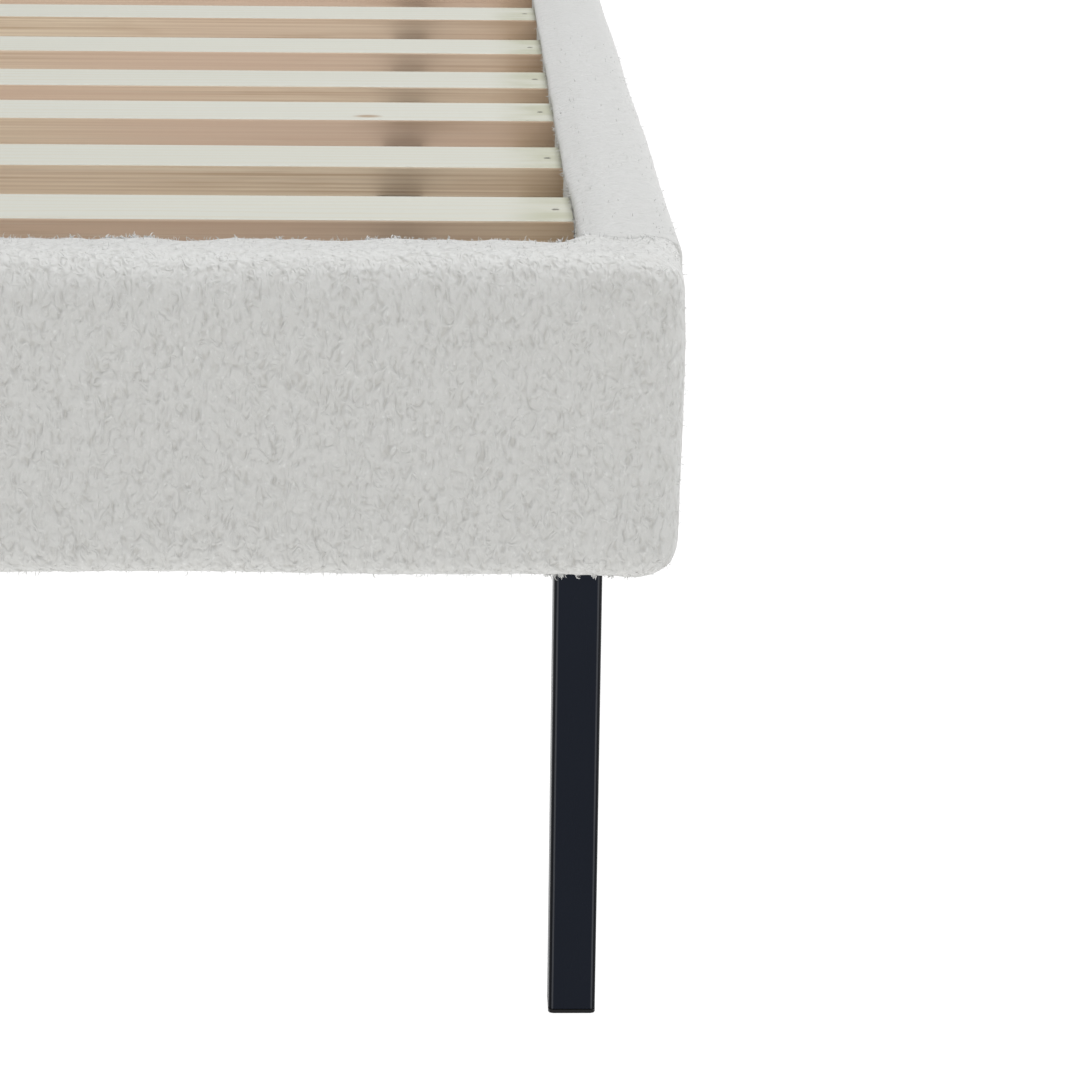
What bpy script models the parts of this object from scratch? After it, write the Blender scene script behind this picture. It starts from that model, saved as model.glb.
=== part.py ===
"""An upholstered headboard bed, queen size.

It has padded rails on black steel legs, pine slats on straps, and a padded headboard.
The frame stands on the floor at z = 0 with the origin under its middle.
+X is across the bed and +Y runs from the foot rail to the headboard. Everything is in metres.
"""

import math

import bmesh
import bpy

# Mattress and overall size
MATTRESS = (1.524, 2.032)
CLEARANCE_X = 0.005
CLEARANCE_Y = 0.0065
GAP = 0.0003
OVERCUT = 0.020

# Padded rails
RAIL_THICK = 0.048
FOOT_THICK = 0.050
RAIL_BOTTOM = 0.256
RAIL_TOP = 0.421
BOARD_THICK = 0.025
BOARD_TOP = 0.402
BOARD_LIFT = 0.003
EDGE_ROUND = 0.011
CORNER_ROUND = 0.026

# Headboard
HEAD_THICK = 0.090
HEAD_TOP = 1.050
HEAD_ROUND = 0.022
HEAD_CORNER = 0.070
PAD_FRONT = 0.045
WRAP = 0.018
PLY_THICK = 0.012
BACK_CLOTH = 0.002
STILE_WIDTH = 0.060

# Slats and what carries them
SLAT_COUNT = 13
SLAT_SIZE = (0.066, 0.018)
SLAT_TOP = 0.408
SLAT_ROUND = 0.0012
SLAT_END_GAP = 0.003
SLAT_PITCH = 0.150
FIRST_SLAT = 0.098
SLAT_DRIFT = (0.0, 0.003, 0.010, -0.014, -0.016, 0.001)
LEDGE = (0.030, 0.025)
STRAP = (0.025, 0.0015)
STRAP_INSET = 0.095
BEAM = (0.040, 0.040)
TUBE_WALL = 0.0015
STEEL_PLATE = 0.003

# Legs
LEG = 0.025
LEG_INSET = 0.038
LEG_ROUND = 0.0025
CAP_THICK = 0.002
CAP_PLUG = 0.014
LEG_PLATE = (0.080, 0.003)
PLATE_SHIFT = 0.024
BRACKET = (0.060, 0.096)
HANGER = (0.090, 0.055, 0.045)
SUPPORT_Y = 0.340
INSERT = (0.003, 0.015)
STUD_RADIUS = 0.004
PAD_RADIUS = 0.016
PAD_THICK = 0.007
STUD_TOP = 0.062
SUPPORT_FOOT = 0.030

HALF_X = MATTRESS[0] / 2 + CLEARANCE_X + RAIL_THICK
INNER_X = HALF_X - RAIL_THICK
HALF_Y = (FOOT_THICK + MATTRESS[1] + 2 * CLEARANCE_Y + HEAD_THICK) / 2
FOOT_INNER = -HALF_Y + FOOT_THICK
HEAD_FRONT = HALF_Y - HEAD_THICK
SLAT_BOTTOM = SLAT_TOP - SLAT_SIZE[1]
CARRY = SLAT_BOTTOM - GAP


def clear_scene():
    for item in list(bpy.data.objects):
        bpy.data.objects.remove(item)
    for group in list(bpy.data.collections):
        bpy.data.collections.remove(group)


def new_collection(name):
    group = bpy.data.collections.new(name)
    bpy.context.scene.collection.children.link(group)
    return group


def material(name, colour, roughness, metallic=0.0):
    made = bpy.data.materials.new(name)
    made.use_nodes = True
    shader = made.node_tree.nodes["Principled BSDF"]
    shader.inputs["Base Color"].default_value = (*colour, 1.0)
    shader.inputs["Roughness"].default_value = roughness
    shader.inputs["Metallic"].default_value = metallic
    made.diffuse_color = (*colour, 1.0)
    return made


clear_scene()
PARTS = new_collection("upholstered_headboard_bed")
CUTTERS = new_collection("cutters")

BOUCLE = material("boucle", (0.76, 0.76, 0.74), 0.95)
PINE = material("pine", (0.74, 0.62, 0.45), 0.62)
BOARD = material("engineered_board", (0.50, 0.38, 0.25), 0.75)
BLACK_STEEL = material("black_powder_coat", (0.018, 0.020, 0.026), 0.38)
ZINC = material("zinc_plate", (0.55, 0.56, 0.58), 0.35, 1.0)
BLACK_PLASTIC = material("black_plastic", (0.015, 0.015, 0.016), 0.5)
WEBBING = material("webbing", (0.035, 0.033, 0.032), 0.9)
DUST_CLOTH = material("dust_cloth", (0.03, 0.03, 0.032), 0.95)


def keep(name, mesh, centre, look):
    """A sub-part in the bed's collection, with its origin at centre."""
    made = bpy.data.objects.new(name, mesh)
    made.location = centre
    mesh.materials.append(look)
    PARTS.objects.link(made)
    return made


def spans(x, y, z):
    """The centre and the size of a box from its two ends along each axis, in either order."""
    ends = [sorted(pair) for pair in (x, y, z)]
    return [sum(pair) / 2 for pair in ends], [pair[1] - pair[0] for pair in ends]


def box_bmesh(size):
    shape = bmesh.new()
    bmesh.ops.create_cube(shape, size=1.0)
    bmesh.ops.scale(shape, vec=size, verts=shape.verts)
    return shape


def soften(shape, radius, segments, wanted):
    """Rounds the edges that wanted(direction, middle) picks. Both are in the box's own frame."""
    picked = []
    for edge in shape.edges:
        a, b = (vertex.co for vertex in edge.verts)
        if wanted((b - a).normalized(), (a + b) / 2):
            picked.append(edge)
    bmesh.ops.bevel(
        shape,
        geom=picked,
        offset=radius,
        segments=segments,
        profile=0.5,
        affect="EDGES",
        clamp_overlap=True,
    )


def finish(name, shape, centre, look, smooth=False):
    mesh = bpy.data.meshes.new(name)
    shape.to_mesh(mesh)
    shape.free()
    if smooth:
        mesh.shade_smooth()
        mesh.set_sharp_from_angle(angle=math.radians(35))
    return keep(name, mesh, centre, look)


def block(name, x, y, z, look, round_edges=0.0, along=None):
    """A box between the given ends. round_edges softens every edge, or only those along one axis."""
    centre, size = spans(x, y, z)
    shape = box_bmesh(size)
    if round_edges:
        soften(shape, round_edges, 2, lambda way, middle: along is None or abs(way[along]) > 0.9)
    return finish(name, shape, centre, look)


def tool(name, x, y, z):
    """A cutting or joining block that is no piece of the bed itself."""
    made = block(name, x, y, z, BOARD)
    return hide(made)


def hide(made):
    PARTS.objects.unlink(made)
    CUTTERS.objects.link(made)
    made.hide_render = True
    made.display_type = "WIRE"
    return made


def boolean(target, other, operation):
    change = target.modifiers.new(operation.lower(), "BOOLEAN")
    change.operation = operation
    change.solver = "EXACT"
    change.object = other


def cut(target, other):
    boolean(target, other, "DIFFERENCE")


def join(target, other):
    boolean(target, other, "UNION")


def turned(name, profile, centre, look):
    """A round piece about +Z from (radius, height) points that run down its outer side."""
    mesh = bpy.data.meshes.new(name)
    points = [(radius, 0.0, height) for radius, height in profile]
    edges = [(i, i + 1) for i in range(len(points) - 1)]
    mesh.from_pydata(points, edges, [])
    made = keep(name, mesh, centre, look)
    spin = made.modifiers.new("spin", "SCREW")
    spin.steps = 24
    spin.render_steps = 24
    spin.use_merge_vertices = True
    spin.merge_threshold = 0.00001
    return made


# Upholstered rails


def foot_rail():
    """A board on edge under a padded cover that wraps its front, top, back and ends."""
    y_ends = (-HALF_Y, FOOT_INNER)
    centre, size = spans((-HALF_X, HALF_X), y_ends, (RAIL_BOTTOM, RAIL_TOP))
    shape = box_bmesh(size)
    soften(shape, CORNER_ROUND, 4, lambda way, middle: abs(way.z) > 0.9 and middle.y < 0)
    soften(shape, EDGE_ROUND, 3, lambda way, middle: abs(way.z) < 0.1 and abs(middle.z) > size[2] * 0.49)
    cover = finish("foot_rail_cover", shape, centre, BOUCLE, smooth=True)
    board_x = HALF_X - CORNER_ROUND
    board_y = (centre[1] - BOARD_THICK / 2, centre[1] + BOARD_THICK / 2)
    pocket = tool(
        "foot_rail_pocket",
        (-board_x - GAP, board_x + GAP),
        (board_y[0] - GAP, board_y[1] + GAP),
        (RAIL_BOTTOM - OVERCUT, BOARD_TOP + GAP),
    )
    cut(cover, pocket)
    block("foot_rail_board", (-board_x, board_x), board_y, (RAIL_BOTTOM + BOARD_LIFT, BOARD_TOP), BOARD)


def side_rail(side, name):
    """The same section as the foot rail, running from its back face to the headboard, with open ends."""
    x_ends = (side * INNER_X, side * HALF_X)
    y_ends = (FOOT_INNER + GAP, HEAD_FRONT - GAP)
    centre, size = spans(x_ends, y_ends, (RAIL_BOTTOM, RAIL_TOP))
    shape = box_bmesh(size)
    soften(shape, EDGE_ROUND, 3, lambda way, middle: abs(way.y) > 0.9)
    cover = finish(f"side_rail_cover_{name}", shape, centre, BOUCLE, smooth=True)
    board_x = (centre[0] - BOARD_THICK / 2, centre[0] + BOARD_THICK / 2)
    pocket = tool(
        f"side_rail_pocket_{name}",
        (board_x[0] - GAP, board_x[1] + GAP),
        (y_ends[0] - OVERCUT, y_ends[1] + OVERCUT),
        (RAIL_BOTTOM - OVERCUT, BOARD_TOP + GAP),
    )
    cut(cover, pocket)
    block(f"side_rail_board_{name}", board_x, y_ends, (RAIL_BOTTOM + BOARD_LIFT, BOARD_TOP), BOARD)


# Headboard


def headboard_cover():
    """Foam and cloth over the front, top, ends and underside, open at the back where the frame goes in."""
    centre, size = spans((-HALF_X, HALF_X), (HEAD_FRONT, HALF_Y), (RAIL_BOTTOM, HEAD_TOP))
    shape = box_bmesh(size)
    soften(shape, HEAD_CORNER, 6, lambda way, middle: abs(way.y) > 0.9 and middle.z > 0)
    top = size[2] / 2
    soften(
        shape,
        HEAD_ROUND,
        3,
        lambda way, middle: abs(way.y) < 0.1 and middle.y < 0 and middle.z > -top * 0.99,
    )
    cover = finish("headboard_cover", shape, centre, BOUCLE, smooth=True)
    pocket = tool(
        "headboard_pocket",
        (-HALF_X + WRAP, HALF_X - WRAP),
        (HEAD_FRONT + PAD_FRONT, HALF_Y + OVERCUT),
        (RAIL_BOTTOM + WRAP, HEAD_TOP - HEAD_CORNER * 0.6),
    )
    cut(cover, pocket)


def headboard_frame():
    """A plywood face on two stiles and two cross rails, closed at the back by a stapled dust cloth."""
    x = HALF_X - WRAP - GAP
    low = RAIL_BOTTOM + WRAP + GAP
    high = HEAD_TOP - HEAD_CORNER * 0.6 - GAP
    ply_front = HEAD_FRONT + PAD_FRONT + GAP
    block("headboard_ply", (-x, x), (ply_front, ply_front + PLY_THICK), (low, high), BOARD)
    timber = (ply_front + PLY_THICK + GAP, HALF_Y - BACK_CLOTH - GAP)
    for side, name in ((-1, "left"), (1, "right")):
        block(f"headboard_stile_{name}", (side * x, side * (x - STILE_WIDTH)), timber, (low, high), PINE)
    between = x - STILE_WIDTH - GAP
    block("headboard_rail_lower", (-between, between), timber, (low, low + STILE_WIDTH), PINE)
    block("headboard_rail_upper", (-between, between), timber, (high - STILE_WIDTH, high), PINE)
    block("headboard_back_cloth", (-x, x), (HALF_Y - BACK_CLOTH, HALF_Y), (low, high), DUST_CLOTH)


# Slats and what carries them


def slat_fronts():
    """The front edge of each slat. They are laid by hand, so the first few drift from the even pitch."""
    for i in range(SLAT_COUNT):
        drift = SLAT_DRIFT[i] if i < len(SLAT_DRIFT) else 0.0
        yield FOOT_INNER + FIRST_SLAT + i * SLAT_PITCH + drift


def slats():
    half = INNER_X - SLAT_END_GAP
    for i, front in enumerate(slat_fronts()):
        y_ends = (front, front + SLAT_SIZE[0])
        block(f"slat_{i + 1:02d}", (-half, half), y_ends, (SLAT_BOTTOM, SLAT_TOP), PINE, SLAT_ROUND, 0)


def ledges():
    """Pine strips inside the rails. The slats lie on the side ones, and the straps on the other two."""
    y_ends = (FOOT_INNER + GAP, HEAD_FRONT - GAP)
    outer = INNER_X - GAP
    for side, name in ((-1, "left"), (1, "right")):
        x_ends = (side * outer, side * (outer - LEDGE[0]))
        block(f"slat_ledge_{name}", x_ends, y_ends, (CARRY - LEDGE[1], CARRY), PINE, 0.001, 1)
    half = outer - LEDGE[0] - GAP
    top = CARRY - STRAP[1] - GAP
    for inner, inward, name in ((FOOT_INNER + GAP, 1, "foot"), (HEAD_FRONT - GAP, -1, "head")):
        y_ends = (inner, inner + inward * LEDGE[0])
        block(f"end_ledge_{name}", (-half, half), y_ends, (top - LEDGE[1], top), PINE, 0.001, 0)


def straps():
    """Webbing stapled to the underside of every slat, from the foot ledge to the head ledge."""
    middle = INNER_X - SLAT_END_GAP - STRAP_INSET
    for side, name in ((-1, "left"), (1, "right")):
        x_ends = (side * middle - STRAP[0] / 2, side * middle + STRAP[0] / 2)
        y_ends = (FOOT_INNER + GAP, HEAD_FRONT - GAP)
        block(f"slat_strap_{name}", x_ends, y_ends, (CARRY - STRAP[1], CARRY), WEBBING)


def beam_ends():
    inset = GAP + LEDGE[0] + GAP + STEEL_PLATE + GAP
    return FOOT_INNER + inset, HEAD_FRONT - inset


def centre_beam():
    """A square steel tube under the middle of the slats."""
    half = BEAM[0] / 2
    start, end = beam_ends()
    z_ends = (CARRY - BEAM[1], CARRY)
    beam = block("centre_beam", (-half, half), (start, end), z_ends, BLACK_STEEL, LEG_ROUND, 1)
    hollow = tool(
        "beam_hollow",
        (-half + TUBE_WALL, half - TUBE_WALL),
        (start - OVERCUT, end + OVERCUT),
        (CARRY - BEAM[1] + TUBE_WALL, CARRY - TUBE_WALL),
    )
    cut(beam, hollow)


def beam_hangers():
    """A steel plate on each end ledge with a shelf and two cheeks that hold the end of the beam."""
    half = BEAM[0] / 2 + GAP
    outer = half + STEEL_PLATE
    floor = CARRY - BEAM[1] - GAP
    start, end = beam_ends()
    for face, inward, name in ((start - GAP, 1, "foot"), (end + GAP, -1, "head")):
        back = face - inward * STEEL_PLATE
        tip = face + inward * HANGER[2]
        plate_x = (-HANGER[0] / 2, HANGER[0] / 2)
        top = CARRY - STRAP[1] - 2 * GAP
        hanger = block(f"beam_hanger_{name}", plate_x, (back, face), (top - HANGER[1], top), ZINC)
        cup_z = (floor - STEEL_PLATE, floor + BEAM[1] * 0.7)
        cup = tool(f"hanger_cup_{name}", (-outer, outer), (back, tip), cup_z)
        slot_y = (face, tip + inward * OVERCUT)
        slot = tool(f"hanger_slot_{name}", (-half, half), slot_y, (floor, floor + BEAM[1] + OVERCUT))
        cut(cup, slot)
        join(hanger, cup)


# Legs


def tube(name, centre_xy, z, look, plate_shift=(0.0, 0.0), plate=LEG_PLATE):
    """A square steel leg, open at its lower end, with a plate welded across its top."""
    x, y = centre_xy
    half = LEG / 2
    low, high = z
    plate_low = high - plate[1]
    outside = (x - half, x + half), (y - half, y + half)
    leg = block(name, *outside, (low, plate_low + 0.001), look, LEG_ROUND, 2)
    px, py = x + plate_shift[0], y + plate_shift[1]
    reach = plate[0] / 2
    top = tool(f"{name}_plate", (px - reach, px + reach), (py - reach, py + reach), (plate_low, high))
    join(leg, top)
    inside = half - TUBE_WALL
    bore_ends = (x - inside, x + inside), (y - inside, y + inside)
    bore = tool(f"{name}_bore", *bore_ends, (low - OVERCUT, plate_low))
    cut(leg, bore)


def end_cap(name, centre_xy):
    """A plastic cap whose plug fills the open end of the tube and whose flange stands on the floor."""
    x, y = centre_xy
    half = LEG / 2
    outside = (x - half, x + half), (y - half, y + half)
    cap = block(name, *outside, (0.0, CAP_THICK), BLACK_PLASTIC, LEG_ROUND, 2)
    inside = half - TUBE_WALL - GAP
    plug_x, plug_y = (x - inside, x + inside), (y - inside, y + inside)
    join(cap, tool(f"{name}_plug", plug_x, plug_y, (CAP_THICK - 0.0005, CAP_THICK + CAP_PLUG)))


def corner_legs():
    for side, side_name in ((-1, "left"), (1, "right")):
        for end, end_name in ((-1, "foot"), (1, "head")):
            x = side * (HALF_X - LEG_INSET - LEG / 2)
            y = end * (HALF_Y - LEG_INSET - LEG / 2)
            shift = (-side * PLATE_SHIFT, -end * PLATE_SHIFT)
            name = f"{end_name}_{side_name}"
            tube(f"leg_{name}", (x, y), (CAP_THICK + GAP, RAIL_BOTTOM - GAP), BLACK_STEEL, shift)
            end_cap(f"leg_cap_{name}", (x, y))


def corner_brackets():
    """Steel angles bolted inside each corner, below the ledges."""
    outer = INNER_X - GAP
    length, height = BRACKET
    low = RAIL_BOTTOM + BOARD_LIFT
    for side, side_name in ((-1, "left"), (1, "right")):
        for face, inward, end_name in ((FOOT_INNER + GAP, 1, "foot"), (HEAD_FRONT - GAP, -1, "head")):
            name = f"{end_name}_{side_name}"
            x_ends = (side * outer, side * (outer - length))
            y_ends = (face, face + inward * length)
            angle = block(f"corner_bracket_{name}", x_ends, y_ends, (low, low + height), ZINC)
            inside_x = (side * (outer - STEEL_PLATE), side * (outer - length - OVERCUT))
            inside_y = (face + inward * STEEL_PLATE, face + inward * (length + OVERCUT))
            cut(angle, tool(f"angle_cut_{name}", inside_x, inside_y, (low - OVERCUT, low + height + OVERCUT)))


def support_legs():
    """Two legs under the beam. Each ends in a threaded plug with a levelling foot that screws in and out."""
    top = CARRY - BEAM[1] - GAP
    half = LEG / 2
    inside = half - TUBE_WALL - GAP
    for number, y in ((1, -SUPPORT_Y), (2, SUPPORT_Y)):
        plate = (BEAM[0], STEEL_PLATE)
        tube(f"support_leg_{number}", (0.0, y), (SUPPORT_FOOT, top), BLACK_STEEL, plate=plate)
        low = SUPPORT_FOOT - GAP - INSERT[0]
        outside = (-half, half), (y - half, y + half)
        flange = (low, low + INSERT[0])
        plug = block(f"leveller_plug_{number}", *outside, flange, BLACK_PLASTIC, LEG_ROUND, 2)
        stem = (low + INSERT[0] - 0.0005, low + INSERT[0] + INSERT[1])
        join(plug, tool(f"leveller_stem_{number}", (-inside, inside), (y - inside, y + inside), stem))
        hole = turned(
            f"leveller_hole_{number}",
            ((0.0, 0.04), (STUD_RADIUS + GAP, 0.04), (STUD_RADIUS + GAP, -0.04), (0.0, -0.04)),
            (0.0, y, low),
            BOARD,
        )
        cut(plug, hide(hole))
        pad = (
            (0.0, STUD_TOP),
            (STUD_RADIUS * 0.7, STUD_TOP),
            (STUD_RADIUS, STUD_TOP - 0.0015),
            (STUD_RADIUS, PAD_THICK + 0.002),
            (STUD_RADIUS * 2.2, PAD_THICK),
            (PAD_RADIUS * 0.85, PAD_THICK * 0.8),
            (PAD_RADIUS, PAD_THICK * 0.45),
            (PAD_RADIUS, 0.0),
            (0.0, 0.0),
        )
        foot = turned(f"levelling_foot_{number}", pad, (0.0, y, 0.0), BLACK_PLASTIC)
        foot.data.shade_smooth()


foot_rail()
side_rail(-1, "left")
side_rail(1, "right")
headboard_cover()
headboard_frame()
slats()
ledges()
straps()
centre_beam()
beam_hangers()
corner_legs()
corner_brackets()
support_legs()
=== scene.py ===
import math

import bpy
import numpy as np
from mathutils import Matrix, Vector


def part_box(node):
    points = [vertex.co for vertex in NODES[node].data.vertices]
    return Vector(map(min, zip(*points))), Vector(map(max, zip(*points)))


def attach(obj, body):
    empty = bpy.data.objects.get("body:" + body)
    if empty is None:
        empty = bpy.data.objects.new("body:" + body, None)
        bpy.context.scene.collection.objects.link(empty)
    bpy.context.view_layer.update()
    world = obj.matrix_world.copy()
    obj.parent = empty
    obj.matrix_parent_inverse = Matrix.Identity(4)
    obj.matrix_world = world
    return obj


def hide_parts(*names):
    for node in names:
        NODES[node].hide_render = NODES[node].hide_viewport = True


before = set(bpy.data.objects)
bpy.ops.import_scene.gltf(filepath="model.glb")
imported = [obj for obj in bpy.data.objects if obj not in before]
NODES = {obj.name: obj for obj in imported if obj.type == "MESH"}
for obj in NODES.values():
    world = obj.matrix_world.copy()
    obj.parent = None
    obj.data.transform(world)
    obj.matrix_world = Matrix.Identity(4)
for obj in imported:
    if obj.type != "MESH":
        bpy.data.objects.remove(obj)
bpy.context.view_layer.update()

BODY = "frame"


# ---------------------------------------------------------------- small helpers


def low_high(node):
    low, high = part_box(node)
    return Vector(low), Vector(high)


def corners(node):
    return [np.array(corner) for corner in low_high(node)]


def place_object(name, data):
    made = bpy.data.objects.new(name, data)
    bpy.context.scene.collection.objects.link(made)
    return made


def add_piece(name, points, faces, look, slot, sharp_from=None):
    """A piece of the frame. Edges sharper than sharp_from degrees stay crisp."""
    mesh = bpy.data.meshes.new(name)
    mesh.from_pydata(np.asarray(points).tolist(), [], faces)
    mesh.shade_smooth()
    if sharp_from:
        mesh.set_sharp_from_angle(angle=math.radians(sharp_from))
    mesh.materials.append(look)
    made = place_object(name, mesh)
    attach(made, BODY)
    return made


def grid_quads(index):
    """The quads of a grid of point numbers."""
    around = [index[:-1, :-1], index[1:, :-1], index[1:, 1:], index[:-1, 1:]]
    return np.stack(around, axis=-1).reshape(-1, 4)


class Tree:
    """A node tree with a short way to add nodes and feed their sockets."""

    def __init__(self, tree):
        self.tree = tree

    def add(self, kind, inputs=None, **settings):
        made = self.tree.nodes.new(kind)
        for key, value in settings.items():
            setattr(made, key, value)
        for key, value in (inputs or {}).items():
            self.feed(made.inputs[key], value)
        return made

    def feed(self, socket, value):
        if isinstance(value, bpy.types.NodeSocket):
            self.tree.links.new(value, socket)
        else:
            socket.default_value = value

    def maths(self, operation, a, b=0.0, c=0.0, clamp=False):
        made = self.add("ShaderNodeMath", operation=operation, use_clamp=clamp)
        for socket, value in zip(made.inputs, (a, b, c)):
            self.feed(socket, value)
        return made.outputs[0]

    def times(self, a, b):
        return self.maths("MULTIPLY", a, b)

    def vector(self, operation, a, b):
        return self.add("ShaderNodeVectorMath", {0: a, 1: b}, operation=operation).outputs[0]

    def scaled(self, place, x, y, z):
        return self.vector("MULTIPLY", place, (x, y, z))

    def part(self, value, axis):
        return self.add("ShaderNodeSeparateXYZ", {0: value}).outputs[axis]

    def own(self, kind="Object"):
        return self.add("ShaderNodeTexCoord").outputs[kind]

    def noise(self, place, scale, detail=2.0, roughness=0.5, out="Fac"):
        inputs = {"Vector": place, "Scale": scale, "Detail": detail, "Roughness": roughness}
        return self.add("ShaderNodeTexNoise", inputs).outputs[out]

    def cells(self, place, scale, randomness=1.0):
        inputs = {"Vector": place, "Scale": scale, "Randomness": randomness}
        return self.add("ShaderNodeTexVoronoi", inputs, feature="F1").outputs

    def ramp(self, value, low, high, to_low=0.0, to_high=1.0):
        """A smooth step from to_low at low to to_high at high."""
        inputs = {0: value, 1: low, 2: high, 3: to_low, 4: to_high}
        return self.add("ShaderNodeMapRange", inputs, interpolation_type="SMOOTHSTEP").outputs[0]

    def mix(self, factor, a, b, blend="MIX"):
        made = self.add("ShaderNodeMix", data_type="RGBA", blend_type=blend)
        self.feed(made.inputs[0], factor)
        self.feed(made.inputs[6], (*a, 1.0) if isinstance(a, tuple) else a)
        self.feed(made.inputs[7], (*b, 1.0) if isinstance(b, tuple) else b)
        return made.outputs[2]


def material(name, build, **fixed):
    """A Principled material.

    build(tree) gives its colour, its roughness and its bump, which is a height field, a distance and a
    strength. The last two may be None. fixed sets the sockets that are even all over.
    """
    made = bpy.data.materials.new(name)
    made.use_nodes = True
    tree = Tree(made.node_tree)
    shader = made.node_tree.nodes["Principled BSDF"]
    for key, value in fixed.items():
        shader.inputs[key.replace("_", " ")].default_value = value
    colour, roughness, bump = build(tree)
    tree.feed(shader.inputs["Base Color"], colour)
    if roughness:
        tree.feed(shader.inputs["Roughness"], roughness)
    if bump:
        height, distance, strength = bump
        inputs = {"Height": height, "Distance": distance, "Strength": strength}
        raised = tree.add("ShaderNodeBump", inputs)
        tree.feed(shader.inputs["Normal"], raised.outputs["Normal"])
    return made


# ---------------------------------------------------------------- boucle

CURL = 0.0062  # width of one loop of yarn in the pattern
CURL_TURNS = 4.6
TUFT = 0.0039  # distance between two tufts
CLUMP = 0.0075  # size of the patches where the pile stands up or lies down
CLUMP_HEIGHT = 0.0007
UPWARD_SCALE = 0.60  # the pattern is drawn out upwards, which makes the curls longer
UP_FACING_DEPTH = 0.78  # depth of the hollows and of their painted shade where the cloth faces up, next to 1 on its sides, as light from above fills them there
PALE = (0.648, 0.645, 0.622), (0.659, 0.658, 0.636)
# colour of the painted shade in the hollows between tufts and in the gaps between loops
HOLLOW_SHADE = (0.40, 0.385, 0.345)
FLECK = (0.80, 0.80, 0.78)


def pushed(tree, rest, scale, reach):
    """Places moved about at random, by up to half of reach."""
    push = tree.noise(rest, scale, 1.0, out="Color")
    push = tree.scaled(tree.vector("SUBTRACT", push, (0.5, 0.5, 0.5)), reach, reach, reach)
    return tree.vector("ADD", rest, push)


def curls(tree, rest, offset):
    """A field of worm-like loops of yarn, from 0 between two loops to 1 on top of one.

    The loops are the level lines of a noise.
    """
    moved = pushed(tree, tree.vector("ADD", rest, offset), 0.55 / CURL, CURL)
    level = tree.noise(moved, 1 / CURL, 1.0, 0.4)
    wave = tree.maths("SINE", tree.times(level, CURL_TURNS * 2 * math.pi))
    return tree.maths("MULTIPLY_ADD", wave, 0.5, 0.5)


def mounds(tree, rest):
    """Rounded tops of single tufts, pushed about so that they never line up."""
    cells = tree.add(
        "ShaderNodeTexVoronoi",
        {"Vector": pushed(tree, rest, 0.8 / TUFT, TUFT), "Scale": 1 / TUFT, "Smoothness": 0.6},
        feature="SMOOTH_F1",
    )
    hollow = tree.maths("POWER", cells.outputs["Distance"], 2.0)
    return tree.maths("MULTIPLY_ADD", hollow, -1.3, 1.0, clamp=True)


def boucle_build(depth, tone):
    """Off-white pile with painted shade in its hollows. depth is how deep its hollows look and how dark
    their painted shade is, and tone its lightness; a tone under 1 paints the whole cloth darker as shade.
    """

    def build(tree):
        rest = tree.add("ShaderNodeAttribute", attribute_name="rest").outputs["Vector"]
        rest = tree.scaled(rest, 1.0, 1.0, UPWARD_SCALE)
        first = curls(tree, rest, (0.0, 0.0, 0.0))
        second = curls(tree, rest, (0.31, 0.17, 0.23))
        pile = tree.maths("SMOOTH_MAX", first, second, 0.15)
        # the gaps between loops, which are painted darker as shade
        pit_shade_mask = tree.ramp(pile, 0.05, 0.55, 1.0, 0.0)
        fibre = tree.noise(rest, 11.0 / CURL, 2.0, 0.6)
        height = tree.maths("MULTIPLY_ADD", fibre, 0.35, pile)
        mound = mounds(tree, rest)
        height = tree.maths("MULTIPLY_ADD", mound, 2.0, tree.times(height, 0.7))
        # Painted shade in the hollows, and the bump, are weaker where the cloth faces up, as light from
        # above fills the hollows there.
        up_facing_depth = tree.ramp(tree.part(tree.own("Normal"), 2), 0.10, 0.90, 1.0, UP_FACING_DEPTH)
        pale = tree.mix(tree.noise(rest, 9.0), *PALE)
        # Painted shade: the hollows between tufts and the gaps between loops are mixed towards the shade
        # colour.
        hollow = tree.ramp(mound, 0.35, 0.85, 1.0, 0.0)
        shaded_pile = tree.mix(tree.times(hollow, 0.10 * depth), pale, HOLLOW_SHADE)
        shade = tree.times(tree.maths("MULTIPLY_ADD", hollow, 0.22 * depth, 0.11 * depth), up_facing_depth)
        shaded_pile = tree.mix(tree.times(pit_shade_mask, shade), shaded_pile, HOLLOW_SHADE)
        fleck = tree.noise(rest, 3.2 / CURL, 1.0, 0.4)
        shaded_pile = tree.mix(tree.ramp(fleck, 0.63, 0.79, 0.0, 0.5 * depth), shaded_pile, FLECK)
        colour = tree.scaled(shaded_pile, tone, tone, tone)
        roughness = tree.ramp(fibre, 0.2, 0.8, 0.88, 1.0)
        return colour, roughness, (tree.times(height, up_facing_depth), 0.0009, 0.72 * depth)

    return build


def pile_build(tree):
    tone = tree.noise(tree.own(), 500.0, 1.0)
    return tree.mix(tone, (0.68, 0.68, 0.66), (0.78, 0.78, 0.77)), None, None


PILE = material("boucle_pile", pile_build, Roughness=0.95, Specular_IOR_Level=0.2)
CLOTH_GLOSS = {"Sheen_Weight": 0.35, "Sheen_Roughness": 0.55, "Specular_IOR_Level": 0.2}
BOUCLE = material("boucle", boucle_build(1.0, 1.0), **CLOTH_GLOSS)
# A copy with shallower hollows and tone 0.925, which paints the whole cloth darker as shade.
BOUCLE_SHALLOW_SHADED = material("boucle_shallow_shaded", boucle_build(0.45, 0.925), **CLOTH_GLOSS)


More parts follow.
